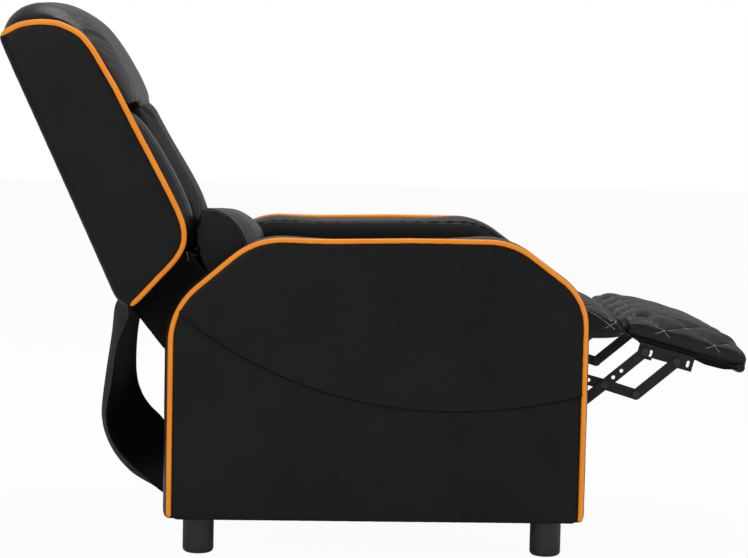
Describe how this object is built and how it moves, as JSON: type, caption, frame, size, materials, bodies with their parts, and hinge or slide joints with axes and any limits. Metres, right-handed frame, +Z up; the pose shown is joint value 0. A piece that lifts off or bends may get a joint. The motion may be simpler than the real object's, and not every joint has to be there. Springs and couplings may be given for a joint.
{
  "type": "push-back recliner chair",
  "caption": "Push-back reclining armchair with piped side panels, lumbar pillow, hanging rear flap and a scissor-linked fold-out footrest.",
  "frame": {"origin": "centre of the bounding box at floor level, as drawn with the footrest out and the back half reclined", "axes": "+X to the front (the footrest), +Y to the left arm of someone sitting in it, +Z up"},
  "size_m": [1.4298, 0.76, 1.0269],
  "materials": {
    "panel_leather": "near-black faux leather (coated fabric) over thin foam, fine pebble grain, satin",
    "pad_leather": "near-black faux leather (coated fabric) over foam, fine pebble grain, satin",
    "piping": "orange faux leather piping, satin",
    "frame_wood": "raw plywood and softwood",
    "black_steel": "black powder coat, semi-gloss",
    "zinc_steel": "zinc-plated, dull bright",
    "webbing": "woven elastic belt, matt",
    "foot_plastic": "black moulded plastic, matt"
  },
  "bodies": {
    "base": {"arm_frame_right": "frame_wood", "arm_band_right": "pad_leather", "arm_upper_panel_right": "pad_leather", "arm_lower_panel_right": "panel_leather", "arm_inner_panel_right": "panel_leather", "arm_piping_right": "piping", "arm_frame_left": "frame_wood", "arm_band_left": "pad_leather", "arm_upper_panel_left": "pad_leather", "arm_lower_panel_left": "panel_leather", "arm_inner_panel_left": "panel_leather", "arm_piping_left": "piping", "foot_rear_right": "foot_plastic", "foot_rear_left": "foot_plastic", "foot_front_right": "foot_plastic", "foot_front_left": "foot_plastic", "foot_studs": "zinc_steel", "base_rear_rail": "frame_wood", "base_front_rail": "frame_wood", "base_plate_right": "black_steel", "base_plate_left": "black_steel", "base_pins": "zinc_steel", "rear_flap": "pad_leather"},
    "front_swing": {"front_swing_links": "black_steel", "torque_tube": "black_steel"},
    "rear_swing": {"rear_swing_links": "black_steel"},
    "seat": {"seat_side_rails": "frame_wood", "seat_cross_rails": "frame_wood", "seat_webbing": "webbing", "seat_cushion": "pad_leather", "seat_plates": "black_steel", "seat_pins": "zinc_steel"},
    "cross_link": {"cross_links": "black_steel", "cross_rivets": "zinc_steel"},
    "long_link": {"long_links": "black_steel", "long_rivets": "zinc_steel"},
    "front_link": {"front_links": "black_steel"},
    "drag_link": {"drag_links": "black_steel"},
    "footrest": {"footrest_brackets": "black_steel", "footrest_rivets": "zinc_steel", "footrest_board": "frame_wood", "footrest_pad": "pad_leather"},
    "back": {"back_frame": "frame_wood", "back_webbing": "webbing", "back_shell": "panel_leather", "lower_back": "panel_leather", "wing_right": "pad_leather", "wing_left": "pad_leather", "wing_panel_right": "pad_leather", "wing_panel_left": "pad_leather", "wing_piping_right": "piping", "wing_piping_left": "piping", "head_cushion": "pad_leather", "bolster_right": "pad_leather", "bolster_left": "pad_leather", "middle_pad": "panel_leather", "lower_pad": "panel_leather", "lumbar_pillow": "pad_leather", "back_brackets": "black_steel", "back_bolts": "zinc_steel"}
  },
  "joints": [
    {"name": "seat_swing", "type": "hinge", "parent": "base", "child": "front_swing", "pos_m": [0.08344, 0, 0.21], "axis": [0, -1, 0], "range_deg": [0, 25]},
    {"name": "rear_swing", "type": "hinge", "parent": "base", "child": "rear_swing", "pos_m": [-0.17156, 0, 0.21], "axis": [0, -1, 0], "range_deg": [0, 25]},
    {"name": "seat_level", "type": "hinge", "parent": "front_swing", "child": "seat", "pos_m": [0.11043, 0, 0.32692], "axis": [0, 1, 0], "range_deg": [0, 25]},
    {"name": "scissor_fold", "type": "hinge", "parent": "seat", "child": "cross_link", "pos_m": [0.31806, 0, 0.34676], "axis": [0, 1, 0], "range_deg": [0, 73.01]},
    {"name": "long_link_fold", "type": "hinge", "parent": "cross_link", "child": "long_link", "pos_m": [0.43423, 0, 0.31671], "axis": [0, -1, 0], "range_deg": [0, 94.91]},
    {"name": "front_link_fold", "type": "hinge", "parent": "cross_link", "child": "front_link", "pos_m": [0.49544, 0, 0.298], "axis": [0, -1, 0], "range_deg": [0, 94.91]},
    {"name": "drag_link_fold", "type": "hinge", "parent": "base", "child": "drag_link", "pos_m": [0.18364, 0, 0.327], "axis": [0, 1, 0], "range_deg": [0, 55.56]},
    {"name": "footrest_fold", "type": "hinge", "parent": "long_link", "child": "footrest", "pos_m": [0.51007, 0, 0.38035], "axis": [0, 1, 0], "range_deg": [0, 94.91]},
    {"name": "back_recline", "type": "hinge", "parent": "base", "child": "back", "pos_m": [-0.36856, 0, 0.265], "axis": [0, -1, 0], "range_deg": [-15, 26], "deforming": ["rear_flap"]}
  ],
  "couplings": [
    {"joint": "rear_swing", "follows": "seat_swing", "ratio": 1},
    {"joint": "seat_level", "follows": "seat_swing", "ratio": 1},
    {"joint": "scissor_fold", "follows": "seat_swing", "ratio": 2.92},
    {"joint": "long_link_fold", "follows": "seat_swing", "ratio": 3.796},
    {"joint": "front_link_fold", "follows": "seat_swing", "ratio": 3.796},
    {"joint": "drag_link_fold", "follows": "seat_swing", "ratio": 2.2221},
    {"joint": "footrest_fold", "follows": "seat_swing", "ratio": 3.796}
  ]
}
